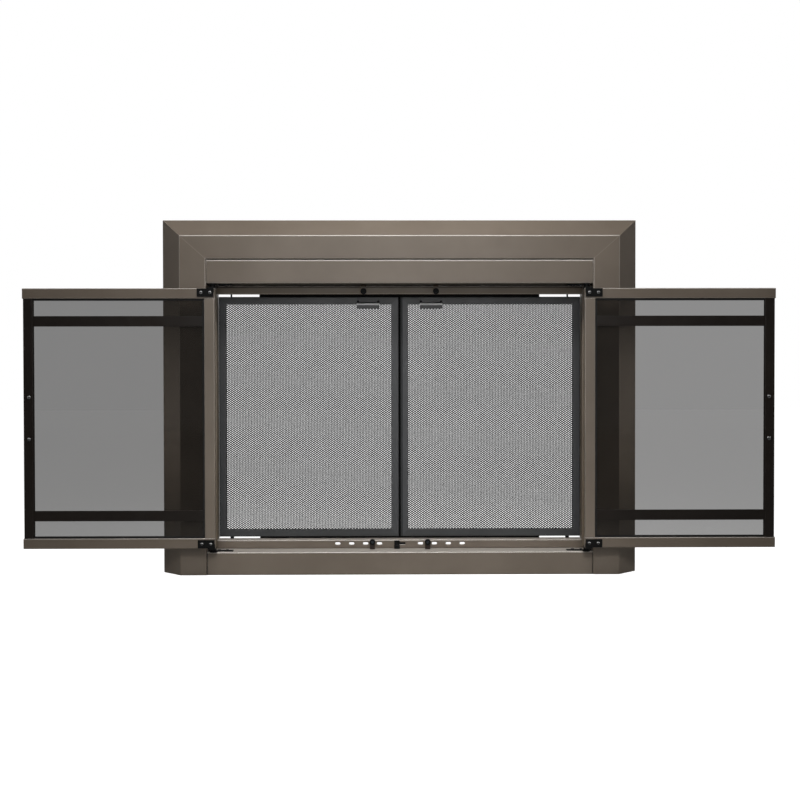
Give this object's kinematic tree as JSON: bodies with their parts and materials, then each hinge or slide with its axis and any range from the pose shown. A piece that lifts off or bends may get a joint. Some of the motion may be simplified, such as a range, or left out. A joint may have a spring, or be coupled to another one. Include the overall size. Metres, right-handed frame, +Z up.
{
  "type": "fireplace glass door",
  "caption": "Painted steel fireplace surround with fold-back smoked-glass doors, mesh spark-guard doors behind them and a sliding air damper in the sill.",
  "frame": {"origin": "on the hearth under the unit, in the plane of the wall face, midway between the sides", "axes": "+X to the right seen from the room, +Y into the fireplace, +Z up"},
  "size_m": [1.7304, 0.198, 0.8319],
  "materials": {
    "taupe_paint": "satin",
    "taupe_paint_aluminium": "satin paint",
    "black_aluminium": "satin paint",
    "black_steel": "satin",
    "charcoal_steel": "satin",
    "steel_net": "satin",
    "zinc_steel": "zinc plated",
    "smoked_glass": "polished",
    "black_rubber": "matt"
  },
  "bodies": {
    "surround": {"top_rail": "taupe_paint", "left_stile": "taupe_paint", "right_stile": "taupe_paint", "bottom_rail": "taupe_paint", "lintel_panel": "taupe_paint", "header_channel": "taupe_paint", "sill_channel": "taupe_paint", "left_jamb": "taupe_paint", "right_jamb": "taupe_paint", "stop_strips": "black_steel", "magnet_tabs": "black_steel", "door_magnets": "black_steel", "frame_hinge_plates": "black_steel", "frame_hinge_screws": "black_steel", "mesh_pivot_brackets": "black_steel", "mesh_pivot_bushes": "black_steel", "corner_gussets": "zinc_steel", "rail_end_brackets": "zinc_steel", "clamp_angles": "zinc_steel", "clamp_bolts": "zinc_steel", "clamp_bars": "zinc_steel", "wing_nuts": "zinc_steel", "floor_brackets": "zinc_steel", "floor_bracket_screws": "zinc_steel", "damper_guides": "black_steel"},
    "left_glass_door": {"left_door_top_rail": "taupe_paint_aluminium", "left_door_bottom_rail": "taupe_paint_aluminium", "left_door_hinge_stile": "taupe_paint_aluminium", "left_door_free_stile": "black_aluminium", "left_door_glass": "smoked_glass", "left_door_gasket": "black_rubber", "left_door_crossbars": "black_steel", "left_door_handle": "black_steel", "left_door_handle_screws": "black_steel", "left_door_hinge_leaves": "black_steel", "left_door_hinge_pins": "black_steel", "left_door_hinge_screws": "black_steel"},
    "right_glass_door": {"right_door_top_rail": "taupe_paint_aluminium", "right_door_bottom_rail": "taupe_paint_aluminium", "right_door_hinge_stile": "taupe_paint_aluminium", "right_door_free_stile": "black_aluminium", "right_door_glass": "smoked_glass", "right_door_gasket": "black_rubber", "right_door_crossbars": "black_steel", "right_door_handle": "black_steel", "right_door_handle_screws": "black_steel", "right_door_hinge_leaves": "black_steel", "right_door_hinge_pins": "black_steel", "right_door_hinge_screws": "black_steel"},
    "left_mesh_door": {"left_mesh_frame": "charcoal_steel", "left_mesh_net": "steel_net", "left_mesh_pull": "charcoal_steel", "left_mesh_pins": "black_steel"},
    "right_mesh_door": {"right_mesh_frame": "charcoal_steel", "right_mesh_net": "steel_net", "right_mesh_pull": "charcoal_steel", "right_mesh_pins": "black_steel", "mesh_meeting_strip": "black_steel"},
    "damper": {"damper_plate": "black_steel", "damper_lever": "black_steel"}
  },
  "joints": [
    {"name": "left_glass_door_hinge", "type": "hinge", "parent": "surround", "child": "left_glass_door", "pos_m": [-0.4346, -0.051, 0.36], "axis": [0, 0, -1], "range_deg": [-180, 0]},
    {"name": "right_glass_door_hinge", "type": "hinge", "parent": "surround", "child": "right_glass_door", "pos_m": [0.4346, -0.051, 0.36], "axis": [0, 0, 1], "range_deg": [-180, 0]},
    {"name": "left_mesh_door_hinge", "type": "hinge", "parent": "surround", "child": "left_mesh_door", "pos_m": [-0.4026, 0.032, 0.36], "axis": [0, 0, -1], "range_deg": [0, 95]},
    {"name": "right_mesh_door_hinge", "type": "hinge", "parent": "surround", "child": "right_mesh_door", "pos_m": [0.4026, 0.032, 0.36], "axis": [0, 0, 1], "range_deg": [0, 95]},
    {"name": "damper_slide", "type": "slide", "parent": "surround", "child": "damper", "axis": [1, 0, 0], "range_m": [0, 0.0165]}
  ]
}
